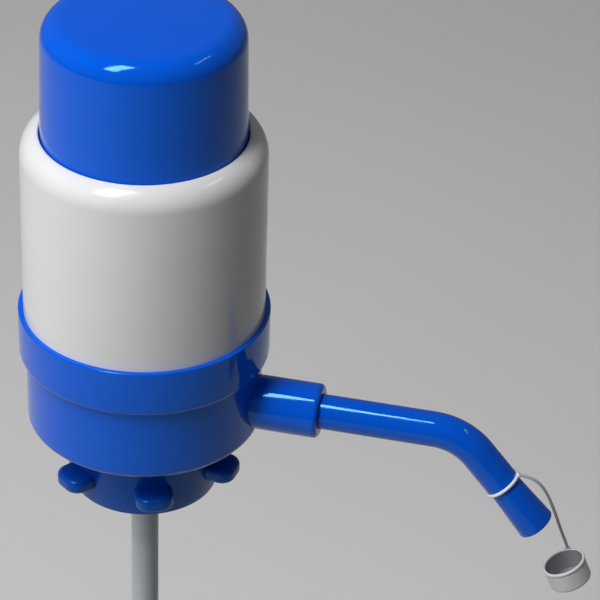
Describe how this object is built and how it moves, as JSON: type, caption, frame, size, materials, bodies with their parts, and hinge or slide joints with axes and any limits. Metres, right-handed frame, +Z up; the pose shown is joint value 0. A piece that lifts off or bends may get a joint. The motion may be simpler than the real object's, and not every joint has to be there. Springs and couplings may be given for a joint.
{
  "type": "hand pump",
  "caption": "Hand pump for a large water jug: a press cap on a bellows in a white sleeve pushes air into the jug, and water rises through a dip tube to a bent blue spout.",
  "frame": {"origin": "on the pump's axis, in the lower face of the neck gasket, where the jug's rim seats", "axes": "+Z up along the pump's axis, towards the press cap; +X the way the spout points; +Y to the left of someone looking along the spout"},
  "size_m": [0.2464, 0.1044, 0.6408],
  "materials": {
    "blue_gloss": "gloss moulded plastic",
    "blue_ring": "gloss moulded plastic, a little darker",
    "blue_spout": "gloss moulded plastic",
    "white_gloss": "gloss moulded plastic",
    "white_inner": "moulded plastic, plain",
    "bellows_soft": "soft blow-moulded plastic",
    "dip_plastic": "extruded milky plastic",
    "seal_rubber": "pale silicone rubber",
    "oring_rubber": "black rubber",
    "steel": "drawn stainless wire and screws",
    "tether_white": "soft plastic",
    "grey_soft": "soft moulded plastic, satin"
  },
  "bodies": {
    "base": {"base_housing": "blue_gloss", "outlet_pipe": "blue_gloss", "sleeve": "white_gloss", "valve_plate": "white_inner", "plate_seal": "seal_rubber", "bellows_clamp_ring": "white_inner", "base_screws": "steel", "delivery_valve_cage": "white_inner", "neck_gasket": "seal_rubber", "bellows": "bellows_soft", "return_spring": "steel", "dip_tube_upper": "dip_plastic", "dip_tube_middle": "dip_plastic", "dip_tube_lower": "dip_plastic", "coupling_upper": "white_inner", "coupling_lower": "white_inner", "foot_strainer": "white_inner"},
    "cap": {"press_cap": "blue_gloss", "top_plate": "white_inner", "top_screws": "steel", "intake_valve_cage": "white_inner"},
    "intake_disc": {"intake_valve_disc": "seal_rubber"},
    "delivery_disc": {"delivery_valve_disc": "seal_rubber"},
    "collet": {"collet": "white_inner"},
    "clamp_ring": {"clamp_ring": "blue_ring"},
    "spout": {"spout_tube": "blue_spout", "spout_oring_inner": "oring_rubber", "spout_oring_outer": "oring_rubber"},
    "tether": {"tether_ring": "tether_white", "tether_strap": "grey_soft", "spout_cap": "grey_soft"}
  },
  "joints": [
    {"name": "press_stroke", "type": "slide", "parent": "base", "child": "cap", "axis": [0, 0, -1], "range_m": [0, 0.04], "stiffness_N_per_m": 400, "springref_m": -0.015, "deforming": ["bellows", "return_spring"]},
    {"name": "intake_lift", "type": "slide", "parent": "cap", "child": "intake_disc", "axis": [0, 0, 1], "range_m": [0, 0.0015]},
    {"name": "delivery_lift", "type": "slide", "parent": "base", "child": "delivery_disc", "axis": [0, 0, 1], "range_m": [0, 0.0015]},
    {"name": "clamp_lift", "type": "slide", "parent": "base", "child": "collet", "axis": [0, 0, -1], "range_m": [0, 0.006]},
    {"name": "clamp_twist", "type": "hinge", "parent": "collet", "child": "clamp_ring", "pos_m": [0, 0, -0.0215], "axis": [0, 0, -1], "range_deg": [0, 360]},
    {"name": "spout_swivel", "type": "hinge", "parent": "base", "child": "spout", "pos_m": [0.0763, 0, 0.01], "axis": [1, 0, 0], "continuous": true},
    {"name": "tether_swivel", "type": "hinge", "parent": "spout", "child": "tether", "pos_m": [0.15413, 0, -0.01196], "axis": [0.6468, 0, -0.7627], "range_deg": [-60, 60]}
  ],
  "couplings": [
    {"joint": "clamp_lift", "follows": "clamp_twist", "m_per_rad": 0.00095492}
  ]
}
